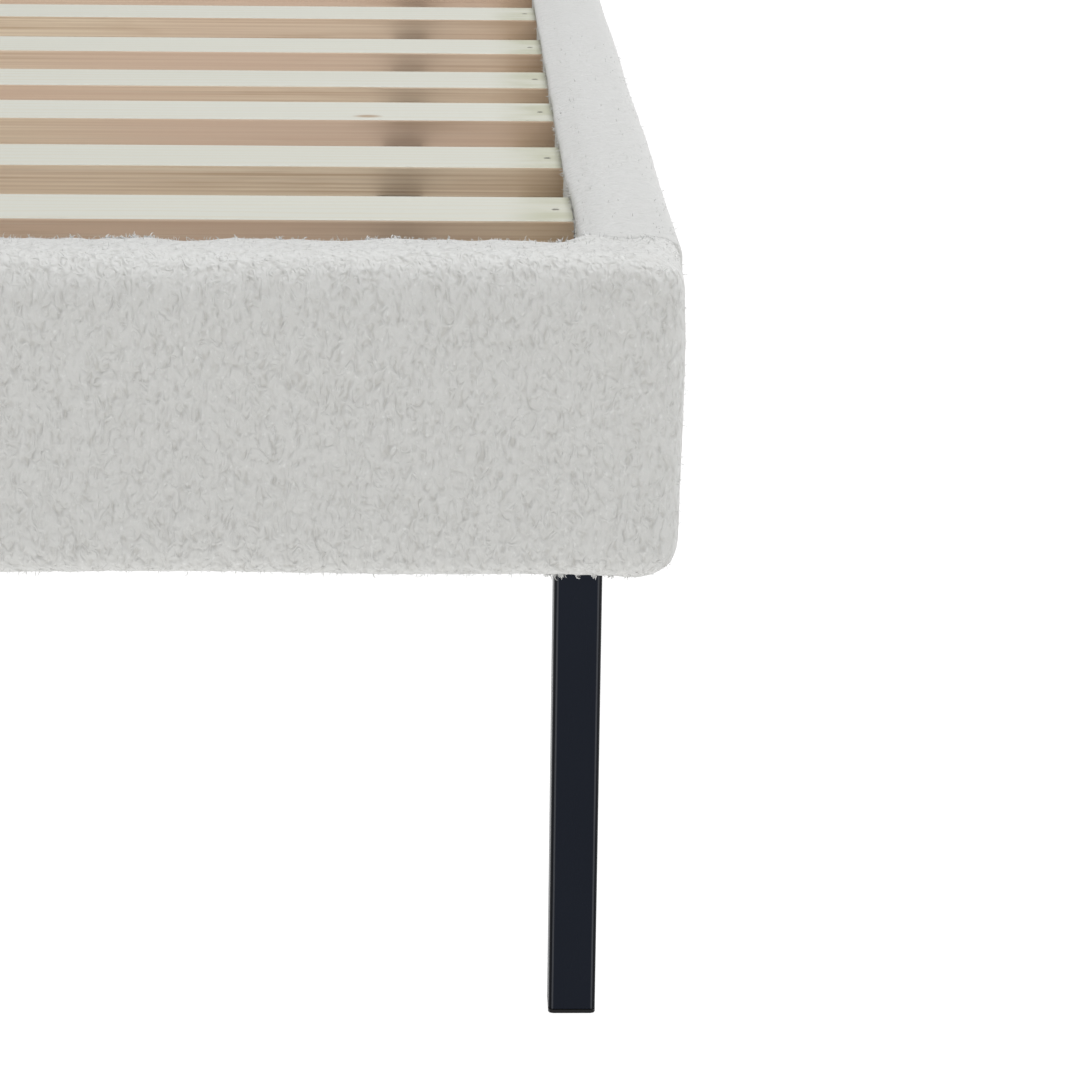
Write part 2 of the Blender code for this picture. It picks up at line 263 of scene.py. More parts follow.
def nub_group():
    """Keeps each point's place for the pattern, then lifts the tufts along the normal."""
    group = bpy.data.node_groups.new("tufts", "GeometryNodeTree")
    group.interface.new_socket("Geometry", in_out="INPUT", socket_type="NodeSocketGeometry")
    group.interface.new_socket("Geometry", in_out="OUTPUT", socket_type="NodeSocketGeometry")
    tree = Tree(group)
    start = tree.add("NodeGroupInput").outputs[0]
    place = tree.add("GeometryNodeInputPosition").outputs[0]
    store = tree.add(
        "GeometryNodeStoreNamedAttribute",
        {"Geometry": start, "Name": "rest"},
        data_type="FLOAT_VECTOR",
        domain="POINT",
    )
    tree.feed(next(s for s in store.inputs if s.name == "Value" and s.enabled), place)
    rest = tree.add("GeometryNodeInputNamedAttribute", {"Name": "rest"}, data_type="FLOAT_VECTOR")
    rest = next(s for s in rest.outputs if s.enabled)
    clumps = tree.noise(rest, 1 / CLUMP, 2.0, 0.55)
    lift = tree.times(tree.maths("SUBTRACT", clumps, 0.5), CLUMP_HEIGHT * 2)
    normal = tree.add("GeometryNodeInputNormal").outputs[0]
    scale = tree.add("ShaderNodeVectorMath", {0: normal, "Scale": lift}, operation="SCALE").outputs[0]
    moved = tree.add("GeometryNodeSetPosition", {"Geometry": store.outputs[0], "Offset": scale})
    tree.feed(tree.add("NodeGroupOutput").inputs[0], moved.outputs[0])
    return group


TUFTS = nub_group()


# ---------------------------------------------------------------- padded covers

FINE = 0.0044  # grid steps
COARSE = 0.0082
SECTION_STEP = 0.0052


def even(low, high, step):
    count = max(2, round((high - low) / step))
    return np.linspace(low, high, count + 1)


def graded(low, high, fine_low, fine_high):
    """Grid lines that are close together between fine_low and fine_high and wider apart elsewhere."""
    parts = [even(fine_low, fine_high, FINE)]
    if fine_low - low > COARSE:
        parts.insert(0, even(low, fine_low, COARSE)[:-1])
    if high - fine_high > COARSE:
        parts.append(even(fine_high, high, COARSE)[1:])
    return np.concatenate(parts)


def box_skin(lines, keep=None):
    """Points and outward quads of a box's skin on a grid. keep drops part of a side."""
    shape = tuple(len(line) for line in lines)
    skin = np.ones(shape, bool)
    skin[1:-1, 1:-1, 1:-1] = False
    index = np.full(shape, -1)
    index[skin] = np.arange(skin.sum())
    points = np.stack(np.meshgrid(*lines, indexing="ij"), axis=-1)[skin]
    quads = []
    for axis in range(3):
        for end in (0, -1):
            ring = grid_quads(np.take(index, end, axis=axis))
            if keep is not None:
                ring = ring[keep(axis, end, points[ring].mean(axis=1))]
            quads.append(ring[:, ::-1] if (end == 0) != (axis == 1) else ring)
    quads = np.concatenate(quads)
    used, renumbered = np.unique(quads, return_inverse=True)
    return points[used], renumbered.reshape(-1, 4)


def rounded(points, low, high, near_low, near_high, square=False):
    """Rounds a box's edges. near_low and near_high give the radius on each side along X, Y and Z.

    With square, the box keeps its four corners as seen along Y.
    """
    near_low = np.broadcast_to(near_low, points.shape)
    near_high = np.broadcast_to(near_high, points.shape)
    core = np.clip(points, low + near_low, high - near_high)
    radius = np.where(points < (low + high) / 2, near_low, near_high)
    way = (points - core) / radius
    length = np.linalg.norm(way, axis=1, keepdims=True)
    if square:
        length = np.hypot(np.abs(way[:, ::2]).max(axis=1, keepdims=True), way[:, 1:2])
    furthest = np.abs(way).max(axis=1, keepdims=True)
    return core + radius * way * furthest / np.maximum(length, 1e-9)


def smooth_step(value, low, high):
    t = np.clip((value - low) / (high - low), 0, 1)
    return t * t * (3 - 2 * t)


def waves(points, seed, length, height):
    """A smooth uneven field: a few sine waves in different directions, seeded."""
    rng = np.random.default_rng(seed)
    total = np.zeros(len(points))
    for _ in range(6):
        way = rng.normal(size=3)
        way /= np.linalg.norm(way)
        turns = points @ way * 2 * math.pi / (length * rng.uniform(0.6, 1.6))
        total += np.sin(turns + rng.uniform(0, 6.28))
    return total * height / 6


def read_points(mesh):
    found = np.empty(len(mesh.vertices) * 3, np.float32)
    mesh.vertices.foreach_get("co", found)
    return found.reshape(-1, 3).astype(float)


def write_points(mesh, points):
    mesh.vertices.foreach_set("co", points.astype(np.float32).ravel())
    mesh.update()


def let_settle(piece, held, pressure, cap, frames=18, keep_clear=None):
    """Cloth over its filling: it swells where held is False.

    No point ends further than cap from its start. keep_clear moves settled points off a neighbour.
    """
    start = read_points(piece.data)
    group = piece.vertex_groups.new(name="held")
    group.add(np.flatnonzero(held).tolist(), 1.0, "REPLACE")
    cloth = piece.modifiers.new("settle", "CLOTH")
    settings = cloth.settings
    settings.quality = 3
    settings.mass = 0.25
    settings.tension_stiffness = 20
    settings.compression_stiffness = 20
    settings.shear_stiffness = 12
    settings.bending_stiffness = 2.0
    settings.use_pressure = True
    settings.uniform_pressure_force = pressure
    settings.vertex_group_mass = "held"
    settings.effector_weights.gravity = 0
    cloth.collision_settings.use_collision = False
    scene = bpy.context.scene
    cloth.point_cache.frame_start, cloth.point_cache.frame_end = 1, frames
    for step in range(1, frames + 1):
        scene.frame_set(step)
    settled = piece.evaluated_get(bpy.context.evaluated_depsgraph_get())
    moved = read_points(settled.data) - start
    piece.modifiers.remove(cloth)
    piece.vertex_groups.remove(group)
    scene.frame_set(1)
    reach = np.linalg.norm(moved, axis=1, keepdims=True)
    limit = cap * np.tanh(reach / cap)
    final = start + moved * limit / np.maximum(reach, 1e-9)
    write_points(piece.data, keep_clear(final) if keep_clear else final)


def cover(name, points, quads, held, pressure, cap, fill, node, look, keep_clear=None):
    """A boucle cover: the cloth settles, one subdivision smooths it, and the tufts rise on it."""
    made = add_piece(name, points, quads.tolist(), look, "boucle")
    let_settle(made, held, pressure, cap, keep_clear=keep_clear)
    smooth = made.modifiers.new("smooth", "SUBSURF")
    smooth.levels = smooth.render_levels = 1
    made.modifiers.new("tufts", "NODES").node_group = TUFTS
    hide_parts(node)
    return made


def near(value, target, reach):
    return np.exp(-(((value - target) / reach) ** 2))


SEAM_EDGE = 0.0016  # distance of the extra grid line that keeps the corner joint tight
JOINT = (0.752, 0.768)  # the side rail's inner face, across the bed
RAIL_SWELL = 0.6, 0.0022, 0.85  # pressure, cap and fill of the rail covers


def foot_rail():
    low, high = corners("foot_rail_cover")
    low[2] -= 0.0003
    high[2] -= 0.0014
    xs = graded(low[0], high[0], high[0] - 0.37, high[0])
    ys = np.append(even(low[1], high[1] - SEAM_EDGE, SECTION_STEP), high[1])
    points, quads = box_skin((xs, ys, even(low[2], high[2], SECTION_STEP)))
    out_from_middle = np.abs(points[:, 0])
    depth = smooth_step(points[:, 1], low[1] + 0.012, high[1])
    end_radius = 0.026 - 0.018 * depth
    flat = np.ones(len(points))
    at_end = smooth_step(out_from_middle, high[0] - 0.07, high[0])
    near_low = np.stack([end_radius, 0.015 * flat, 0.009 + 0.009 * at_end], axis=1)
    by_side_rail = smooth_step(out_from_middle, *JOINT)
    near_high = np.stack([end_radius, 0.010 - 0.0084 * by_side_rail, 0.018 - 0.003 * at_end], axis=1)
    shaped = rounded(points, low, high, near_low, near_high)
    x, y, z = shaped.T
    taper = 0.0014 * smooth_step(high[2] - z, 0.05, 0.16)
    taper *= smooth_step(np.abs(x), 0.74, 0.815)
    taper += 0.0010 * smooth_step(z, high[2] - 0.045, high[2] - 0.015) * at_end
    x -= np.sign(x) * taper
    sag = 0.0036 * at_end + 0.0008 * smooth_step(out_from_middle, 0.50, 0.72)
    z -= sag * smooth_step(high[2] - z, 0.10, 0.16)
    y += waves(points, 3, 0.30, 0.0011)
    z += waves(points, 4, 0.22, 0.0010)
    underneath = z < low[2] + 0.004
    behind = y > high[1] - 0.003
    lip = smooth_step(y, high[1] - 0.016, high[1] - 0.004)
    lip *= smooth_step(z, high[2] - 0.02, high[2])
    z += lip * (waves(points, 12, 0.034, 0.0030) + waves(points, 13, 0.013, 0.0022))
    by_edge = smooth_step(y, high[1] - 0.022, high[1] - 0.002)
    z += 0.0006 * by_side_rail * by_edge
    held = underneath | behind
    made = cover("foot_rail_boucle", shaped, quads, held, *RAIL_SWELL, "foot_rail_cover", BOUCLE)

    def density(x, y, z, facing):
        shown = smooth_step(x, high[0] - 0.40, high[0] - 0.33)
        lip = near(y, high[1] - 0.004, 0.007) * near(z, high[2], 0.008)
        hem = near(y, low[1] + 0.012, 0.012) * near(z, low[2], 0.007)
        outline = smooth_step(x, high[0] - 0.020, high[0] - 0.004)
        return shown * (0.05 + 0.7 * lip + 0.20 * hem + 0.06 * outline)

    def lip_density(x, y, z, facing):
        shown = smooth_step(x, high[0] - 0.42, high[0] - 0.36)
        edge = near(y, high[1] - 0.0015, 0.0030)
        edge *= near(z, high[2] - 0.001, 0.005)
        edge *= 1 - smooth_step(x, 0.752, 0.766)
        by_leg = near(x, high[0] - 0.052, 0.016)
        hem = near(y, low[1] + 0.011, 0.006) * near(z, low[2] - 0.002, 0.005)
        return shown * (edge + 0.12 * hem * by_leg)

    stray_pile("foot_rail_pile", made, 8000, density, 31)
    stray_pile("foot_rail_fringe", made, 9000, lip_density, 33, each=40, thick=0.00034)


SLAT_CLEAR = 0.0007  # gap between a slat's end and the cloth
SWELL = 0.0015  # how far the cloth swells between two slats
SWELL_OVER = 0.0031  # and over their tops
SWELL_RUN = 0.0075
EDGE_ROUND = 0.010
SEEN_LENGTH = 0.86  # the part of the right side rail that the camera sees, with a finer grid


def side_rail(side, name):
    node = f"side_rail_cover_{name}"
    low, high = corners(node)
    low[2] += 0.0006
    high[2] -= 0.0006
    if side > 0:
        low[0] -= SLAT_CLEAR
        ys = graded(low[1], high[1], low[1], low[1] + SEEN_LENGTH)
    else:
        high[0] += SLAT_CLEAR
        ys = even(low[1], high[1], COARSE)
    ys = np.insert(ys, 1, low[1] + SEAM_EDGE)
    slat_boxes = [low_high(node) for node in SLATS]
    slat_low, slat_high = slat_boxes[0]
    slat_end, slat_top = slat_high.x, slat_high.z
    zs = even(low[2], slat_top - 0.0010, SECTION_STEP)
    zs = np.concatenate([zs, [slat_top + 0.0009], even(slat_top + 0.0038, high[2], 0.0044)])
    points, quads = box_skin((even(low[0], high[0], SECTION_STEP), ys, zs))
    edges = (EDGE_ROUND, 0.0015, 0.011)
    shaped = rounded(points, low, high, edges, edges)
    shaped[:, 0] += waves(points, 7 + side, 0.34, 0.0012)
    shaped[:, 2] += waves(points, 9 + side, 0.26, 0.0011)
    ends = np.minimum(points[:, 1] - low[1], high[1] - points[:, 1]) < 0.003
    underneath = shaped[:, 2] < low[2] + 0.004
    held = ends | underneath
    inner_face = low[0] if side > 0 else -high[0]

    def hug(settled):
        """The inner face meets the slat ends, and swells a little between them and over them."""
        x, y, z = settled.T
        between = np.ones(len(settled))
        for slat_box in slat_boxes:
            away = np.maximum(slat_box[0].y - y, y - slat_box[1].y)
            between = np.minimum(between, smooth_step(away, 0.0012, SWELL_RUN))
        over = smooth_step(z, slat_top - 0.0006, slat_top + 0.0042)
        swell = np.maximum(SWELL * between, SWELL_OVER * over)
        swell *= 0.3 + 0.7 * smooth_step(y, low[1] + 0.12, low[1] + 0.22)
        target = slat_end + SLAT_CLEAR - swell
        inwards = 1 - smooth_step(side * x - inner_face, 0.0035, 0.0085)
        level = smooth_step(z, slat_low.z - 0.05, slat_low.z - 0.02)
        level *= 1 - smooth_step(z, slat_top + 0.0045, slat_top + 0.0110)
        share = inwards * level
        x[:] = x * (1 - share) + side * target * share
        return settled

    label = f"side_rail_boucle_{name}"
    made = cover(label, shaped, quads, held, *RAIL_SWELL, node, BOUCLE_SHALLOW_SHADED, keep_clear=hug)

    def density(x, y, z, facing):
        shown = 1 - smooth_step(y, low[1] + 0.55, low[1] + 0.90)
        crest = near(z, high[2], 0.010) * (facing > 0.2)
        by_slats = near(z, slat_top + 0.0005, 0.0025) * (facing < -0.6)
        return shown * (0.02 + 0.05 * crest + 0.9 * by_slats)

    if side > 0:
        stray_pile("side_rail_pile", made, 4000, density, 32)


CHANNELS = 8
CHANNEL_DEPTH = 0.013
CELLS_EACH = 25  # grid cells across one channel
TOP_CORNER, BOTTOM_CORNER = 0.070, 0.022


def headboard():
    low, high = corners("headboard_cover")
    inset = 0.0012
    low, high = low + inset, high - inset
    xs = np.linspace(low[0], high[0], CHANNELS * CELLS_EACH + 1)
    lines = (xs, even(low[1], high[1], 0.009), even(low[2], high[2], COARSE))
    frame_low, frame_high = low_high("headboard_back_cloth")

    def keep(axis, end, middles):
        """The cover is turned over the back as far as the frame that it is stapled to."""
        if axis != 1 or end == 0:
            return np.ones(len(middles), bool)
        inside = np.abs(middles[:, 0]) < frame_high.x
        return ~(inside & (middles[:, 2] > frame_low.z) & (middles[:, 2] < frame_high.z))

    points, quads = box_skin(lines, keep)
    shaped = rounded(points, low, high, (0.022, 0.024, 0.016), (0.022, 0.008, 0.024), square=True)
    x, y, z = shaped.T
    for radius, sign in ((TOP_CORNER, 1), (BOTTOM_CORNER, -1)):
        across = np.abs(x) - (high[0] - radius)
        limit = high[2] - radius if sign > 0 else low[2] + radius
        up = sign * (z - limit)
        corner = (across > 0) & (up > 0)
        a, b = across[corner], up[corner]
        pull = np.maximum(a, b) / np.hypot(a, b)
        x[corner] = np.sign(x[corner]) * (high[0] - radius + a * pull)
        z[corner] = limit + sign * b * pull
    width = (high[0] - low[0]) / CHANNELS
    from_seam = np.abs((points[:, 0] - low[0] + width / 2) % width - width / 2)
    at_border = np.minimum(points[:, 0] - low[0], high[0] - points[:, 0]) < width / 4
    crown = (1 - np.clip(1 - from_seam / (width / 2), 0, 1) ** 2.6) ** (1 / 2.0)
    crown[at_border] = 1.0
    front = smooth_step(high[1] - points[:, 1], 0.030, 0.075)
    top = smooth_step(points[:, 2], high[2] - 0.004, high[2]) * (1 - front) * 0.55
    y += CHANNEL_DEPTH * (1 - crown) * front
    z -= CHANNEL_DEPTH * 0.7 * (1 - crown) * top
    y += waves(points, 21, 0.20, 0.0014) * front
    seam = (from_seam < 0.002) & ~at_border
    held = seam | (points[:, 1] > high[1] - 0.02)
    cover("headboard_boucle", shaped, quads, held, 1.4, 0.007, 0.7, "headboard_cover", BOUCLE_SHALLOW_SHADED)


# ---------------------------------------------------------------- stray pile


def surface_of(piece):
    """Centres, outward normals and areas of a piece's faces as it finally is."""
    shown = piece.evaluated_get(bpy.context.evaluated_depsgraph_get()).data
    found = []
    for kind, size in (("center", 3), ("normal", 3), ("area", 1)):
        values = np.empty(len(shown.polygons) * size, np.float32)
        shown.polygons.foreach_get(kind, values)
        found.append(values.astype(float))
    return found[0].reshape(-1, 3), found[1].reshape(-1, 3), found[2]


def stray_pile(name, piece, count, density, seed, each=1, thick=0.00019, long=0.0020):
    """Short curled fibres that stand out of the cloth, thickest where density is high.

    density takes the places of the faces and how far they face along X.
    Each is a thin tapered tube. They grow in tufts of each fibres, and long is their usual length.
    """
    rng = np.random.default_rng(seed)
    centres, normals, areas = surface_of(piece)
    chance = areas * density(*centres.T, normals[:, 0])
    picked = np.repeat(rng.choice(len(centres), size=count // each, p=chance / chance.sum()), each)
    count = len(picked)
    out = normals[picked]
    spread = np.repeat(rng.normal(size=(count // each, 3)), each, axis=0)
    if each > 1:
        spread += rng.normal(size=(count, 3)) * 0.45
    across = np.cross(out, spread)
    across /= np.linalg.norm(across, axis=1, keepdims=True)
    lean = rng.uniform(-0.3, 1.1, (count, 1))
    grow = out + across * lean
    grow /= np.linalg.norm(grow, axis=1, keepdims=True)
    bend = np.cross(grow, rng.normal(size=(count, 3)))
    bend /= np.linalg.norm(bend, axis=1, keepdims=True)
    side = np.cross(grow, bend)
    length = (long * rng.gamma(5.0, 0.2, (count, 1))).clip(long * 0.5, long * 2.2)
    turn = rng.uniform(0.6, 2.6, (count, 1))
    root = centres[picked] + rng.normal(size=(count, 3)) * 0.0007 - out * 0.0011
    rings = []
    for share, share_thick in ((0.0, 1.0), (0.36, 0.9), (0.70, 0.75)):
        swing = share * turn
        middle = root + length * (grow * np.sin(swing) + bend * (1 - np.cos(swing))) / turn
        way = grow * np.cos(swing) + bend * np.sin(swing)
        flat = np.cross(way, side)
        for corner in range(3):
            angle = corner * 2 * math.pi / 3
            off = flat * math.cos(angle) + side * math.sin(angle)
            rings.append(middle + thick * share_thick * off)
    tip = root + length * (grow * np.sin(turn) + bend * (1 - np.cos(turn))) / turn
    points = np.stack([*rings, tip], axis=1)
    pattern = [(0, 2, 1)]
    for ring in (0, 3):
        for corner in range(3):
            after = (corner + 1) % 3
            a, b, c, d = ring + corner, ring + after, ring + 3 + after, ring + 3 + corner
            pattern += [(a, b, c), (a, c, d)]
    pattern += [(6 + corner, 6 + (corner + 1) % 3, 9) for corner in range(3)]
    faces = (np.arange(count) * 10)[:, None, None] + np.array(pattern)[None]
    add_piece(name, points.reshape(-1, 3), faces.reshape(-1, 3).tolist(), PILE, "boucle")


# ---------------------------------------------------------------- wood


RAIL_SHADOW_FROM, RAIL_SHADOW_TO = 0.722, 0.752  # painted shadow of the side rail: the slats darken towards their ends, across the bed


def pine_build(tree):
    """Cream planed faces with faint rings, and sawn edges that are lined and a little grimy. The edges are
    painted darker and warmer as shade and warm bounce light, and the slats' ends carry a painted shadow of
    the side rail.
    """
    place = tree.own()
    drift = tree.noise(tree.scaled(place, 0.8, 7.0, 0.0), 1.0, 1.0)
    wander = tree.noise(tree.scaled(place, 2.2, 14.0, 14.0), 1.0, out="Color")
    bent = tree.vector("ADD", place, tree.scaled(wander, 0.0, 0.030, 0.020))
    inputs = {"Scale": 30.0, "Distortion": 2.4, "Detail": 2.0, "Detail Scale": 1.4}
    rings = tree.add(
        "ShaderNodeTexWave",
        {"Vector": tree.scaled(bent, 0.25, 1.0, 0.9), **inputs},
        wave_type="BANDS",
        bands_direction="Y",
        wave_profile="SAW",
    ).outputs["Fac"]
    streaks = tree.noise(tree.scaled(place, 5.0, 420.0, 420.0), 1.0, 4.0, 0.6)
    pores = tree.noise(tree.scaled(place, 26.0, 1500.0, 1500.0), 1.0)
    face = tree.mix(drift, (0.585, 0.583, 0.511), (0.628, 0.631, 0.571))
    face = tree.mix(tree.times(tree.ramp(rings, 0.55, 1.0), 0.26), face, (0.58, 0.500, 0.330))
    face = tree.mix(tree.ramp(streaks, 0.45, 0.85, 0.0, 0.22), face, (0.58, 0.52, 0.39))
    spots = tree.cells(tree.scaled(place, 4.5, 7.5, 0.0), 1.0)
    random_share = tree.add("ShaderNodeSeparateColor", {0: spots["Color"]}).outputs[0]
    chosen = tree.maths("GREATER_THAN", random_share, 0.70)
    knot = tree.times(tree.ramp(spots["Distance"], 0.020, 0.055, 1.0, 0.0), chosen)
    face = tree.mix(tree.times(knot, 0.75), face, (0.33, 0.20, 0.10))
    lines = tree.noise(tree.scaled(place, 2.0, 260.0, 700.0), 1.0, 4.0, 0.65)
    # The edges' darker, warmer base colour is painted shade and warm bounce light, under their own lines.
    sawn_and_shaded = tree.mix(tree.ramp(lines, 0.36, 0.72), (0.735, 0.612, 0.450), (0.500, 0.365, 0.240))
    warm = tree.noise(tree.scaled(place, 2.2, 8.0, 0.0), 1.0, 1.0)
    sawn_and_shaded = tree.mix(tree.ramp(warm, 0.32, 0.62, 0.1, 0.75), sawn_and_shaded, (0.640, 0.462, 0.350))
    chalk = tree.noise(tree.scaled(place, 3.0, 500.0, 1300.0), 1.0)
    sawn_and_shaded = tree.mix(tree.ramp(chalk, 0.58, 0.78, 0.0, 0.35), sawn_and_shaded, (0.72, 0.66, 0.54))
    sawn_and_shaded = tree.mix(tree.times(knot, 0.6), sawn_and_shaded, (0.30, 0.17, 0.08))
    grime = tree.noise(tree.scaled(place, 7.0, 40.0, 90.0), 1.0, 3.0, 0.6)
    sawn_and_shaded = tree.mix(tree.ramp(grime, 0.50, 0.75, 0.0, 0.45), sawn_and_shaded, (0.45, 0.31, 0.20))
    # Painted shadow of the side rail over the slats' ends, patchy, full on the faces and fainter on the
    # edges.
    reach = tree.ramp(tree.maths("ABSOLUTE", tree.part(place, 0)), RAIL_SHADOW_FROM, RAIL_SHADOW_TO)
    shadow_patchiness = tree.noise(tree.scaled(place, 16.0, 38.0, 0.0), 1.0)
    rail_shadow = tree.times(reach, tree.ramp(shadow_patchiness, 0.35, 0.62, 0.25, 0.85))
    face = tree.mix(rail_shadow, face, (0.46, 0.46, 0.345))
    sawn_and_shaded = tree.mix(tree.times(rail_shadow, 0.55), sawn_and_shaded, (0.46, 0.30, 0.19))
    facing_up = tree.maths("ABSOLUTE", tree.part(tree.own("Normal"), 2))
    # Faces that look up get the planed colour; the others get the edge colour with its painted shade.
    colour = tree.mix(tree.ramp(facing_up, 0.55, 0.85), sawn_and_shaded, face)
    roughness = tree.ramp(streaks, 0.3, 0.8, 0.52, 0.70)
    height = tree.maths("MULTIPLY_ADD", pores, 0.5, tree.times(streaks, 0.8))
    return colour, roughness, (height, 0.00025, 0.6)


def board_build(tree):
    place = tree.own()
    plies = tree.noise(tree.scaled(place, 12.0, 90.0, 90.0), 1.0, 4.0, 0.6)
    tone = tree.mix(tree.ramp(plies, 0.3, 0.7), (0.56, 0.40, 0.24), (0.40, 0.27, 0.15))
    colour = tree.mix(0.12, tone, tree.cells(place, 140.0)["Color"], "MULTIPLY")
    return colour, tree.ramp(plies, 0.3, 0.7, 0.70, 0.85), (plies, 0.0004, 0.5)


PINE = material("planed_pine", pine_build, Specular_IOR_Level=0.35)
BOARD = material("raw_board", board_build)


# ---------------------------------------------------------------- metal, plastic, cloth


def powder_build(tree):
    """Black coat with a painted highlight, a grey line where each rounded edge starts to turn, and painted
    shade, darkest where it turns the corner.
    """
    place = tree.own()
    coat = tree.mix(tree.noise(place, 14.0), (0.0086, 0.0112, 0.0182), (0.0102, 0.0132, 0.0210))
    across, along = (tree.maths("ABSOLUTE", tree.part(tree.own("Normal"), axis)) for axis in (0, 1))
    lesser = tree.maths("MINIMUM", across, along)
    # Painted highlight: a grey line near the start of each rounded corner.
    highlight_line = tree.times(tree.ramp(lesser, 0.06, 0.16), tree.ramp(lesser, 0.34, 0.46, 1.0, 0.0))
    # Painted shade, darkest where the corner turns.
    shaded = tree.mix(tree.ramp(lesser, 0.30, 0.50, 0.0, 0.75), coat, (0.0015, 0.0018, 0.0025))
    with_highlight = tree.mix(tree.times(highlight_line, 0.9), shaded, (0.060, 0.062, 0.070))
    rub = tree.noise(tree.scaled(place, 40.0, 40.0, 6.0), 1.0, 3.0, 0.6)
    return with_highlight, tree.ramp(rub, 0.3, 0.75, 0.24, 0.34), (tree.noise(place, 900.0), 0.00006, 0.5)


def zinc_build(tree):
    place = tree.own()
    scuff = tree.noise(place, 120.0, 3.0)
    shade = tree.mix(scuff, (0.50, 0.51, 0.53), (0.66, 0.67, 0.69))
    colour = tree.mix(0.10, shade, tree.cells(place, 260.0)["Color"], "MULTIPLY")
    return colour, tree.ramp(scuff, 0.3, 0.7, 0.28, 0.46), (scuff, 0.0001, 0.3)


def dull_build(tree):
    scuff = tree.noise(tree.own(), 400.0, 3.0)
    colour = tree.mix(scuff, (0.30, 0.29, 0.25), (0.48, 0.46, 0.40))
    return colour, tree.ramp(scuff, 0.3, 0.7, 0.35, 0.55), (scuff, 0.0001, 0.3)


def plastic_build(tree):
    place = tree.own()
    grain = tree.noise(place, 1400.0)
    colour = tree.mix(tree.noise(place, 30.0), (0.006, 0.006, 0.007), (0.010, 0.010, 0.011))
    return colour, tree.ramp(grain, 0.3, 0.7, 0.45, 0.60), (grain, 0.00008, 0.5)


def webbing_build(tree):
    place = tree.own()
    across = tree.maths("SINE", tree.part(tree.scaled(place, 4200.0, 0.0, 0.0), 0))
    along = tree.maths("SINE", tree.part(tree.scaled(place, 0.0, 2600.0, 0.0), 1))
    weave = tree.maths("MULTIPLY_ADD", tree.times(across, along), 0.5, 0.5)
    lint = tree.noise(place, 700.0)
    shade = tree.mix(weave, (0.010, 0.009, 0.009), (0.034, 0.031, 0.029))
    colour = tree.mix(tree.ramp(lint, 0.6, 0.8, 0.0, 0.2), shade, (0.10, 0.095, 0.09))
    return colour, tree.ramp(lint, 0.3, 0.7, 0.75, 0.9), (weave, 0.0004, 0.8)


def dust_build(tree):
    place = tree.own()
    press = tree.ramp(tree.cells(place, 620.0, 0.25)["Distance"], 0.15, 0.45)
    fibres = tree.noise(tree.scaled(place, 900.0, 900.0, 300.0), 1.0, 3.0)
    colour = tree.mix(fibres, (0.012, 0.012, 0.013), (0.034, 0.034, 0.036))
    height = tree.maths("MULTIPLY_ADD", press, 0.7, fibres)
    return colour, tree.ramp(fibres, 0.3, 0.7, 0.82, 0.95), (height, 0.0003, 0.8)


POWDER = material("black_powder_coat", powder_build, Specular_IOR_Level=0.06)
ZINC = material("zinc_plated_steel", zinc_build, Metallic=1.0)
DULL = material("yellow_passivated_screw", dull_build, Metallic=1.0)
PLASTIC = material("moulded_black_plastic", plastic_build, Specular_IOR_Level=0.2)
WEBBING = material("black_webbing", webbing_build)
DUST = material("black_dust_cloth", dust_build)


# ---------------------------------------------------------------- straps and back cloth

SLATS = sorted(name for name in NODES if name.startswith("slat_") and name[5:].isdigit())


def closed_sheet(top, bottom):
    """Points and outward quads of a thin closed sheet, from a grid of points and one under it."""
    rows, columns = top.shape[:2]
    points = np.concatenate([top.reshape(-1, 3), bottom.reshape(-1, 3)])
    index = np.arange(rows * columns).reshape(rows, columns)
    quads = grid_quads(index)
    under = (quads + rows * columns)[:, ::-1]
    border = np.concatenate([index[:-1, 0], index[-1, :-1], index[:0:-1, -1], index[0, :0:-1]])
    after = np.roll(border, -1)
    wall = np.stack([after, border, border + rows * columns, after + rows * columns], axis=-1)
    return points, np.concatenate([quads, under, wall]).tolist()


STRAP_RIBS = 11
RIB_HEIGHT = 0.00012
STRAP_DIP = 0.0016
ON_LEDGE = 0.030  # length of each end of a strap that lies on a ledge


def strap(name):
    """Woven webbing under the slats. It dips a little between them and has a ribbed face."""
    low, high = corners(f"slat_strap_{name}")
    ys = even(low[1], high[1], 0.008)
    xs = np.linspace(low[0], high[0], 2 * STRAP_RIBS + 1)
    x, y = np.meshgrid(xs, ys, indexing="ij")
    dip = np.zeros_like(y)
    edges = [(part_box(slat)[0][1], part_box(slat)[1][1]) for slat in SLATS]
    starts = [low[1] + ON_LEDGE] + [back for _, back in edges]
    ends = [front for front, _ in edges] + [high[1] - ON_LEDGE]
    for start, end in zip(starts, ends):
        between = np.clip((y - start) / (end - start), 0, 1)
        dip += STRAP_DIP * np.sin(between * math.pi) ** 2
    ribs = RIB_HEIGHT * np.cos((x - low[0]) / (high[0] - low[0]) * 2 * STRAP_RIBS * math.pi)
    edge = 0.00025 * smooth_step(np.abs(x - (low[0] + high[0]) / 2), 0.0108, 0.0125)
    top = np.stack([x, y, high[2] - 0.0001 - dip + ribs - edge - RIB_HEIGHT], axis=-1)
    bottom = np.stack([x, y, high[2] - 0.0013 - dip - ribs + edge], axis=-1)
    made = add_piece(f"strap_{name}", *closed_sheet(top, bottom), WEBBING, "webbing")
    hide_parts(f"slat_strap_{name}")


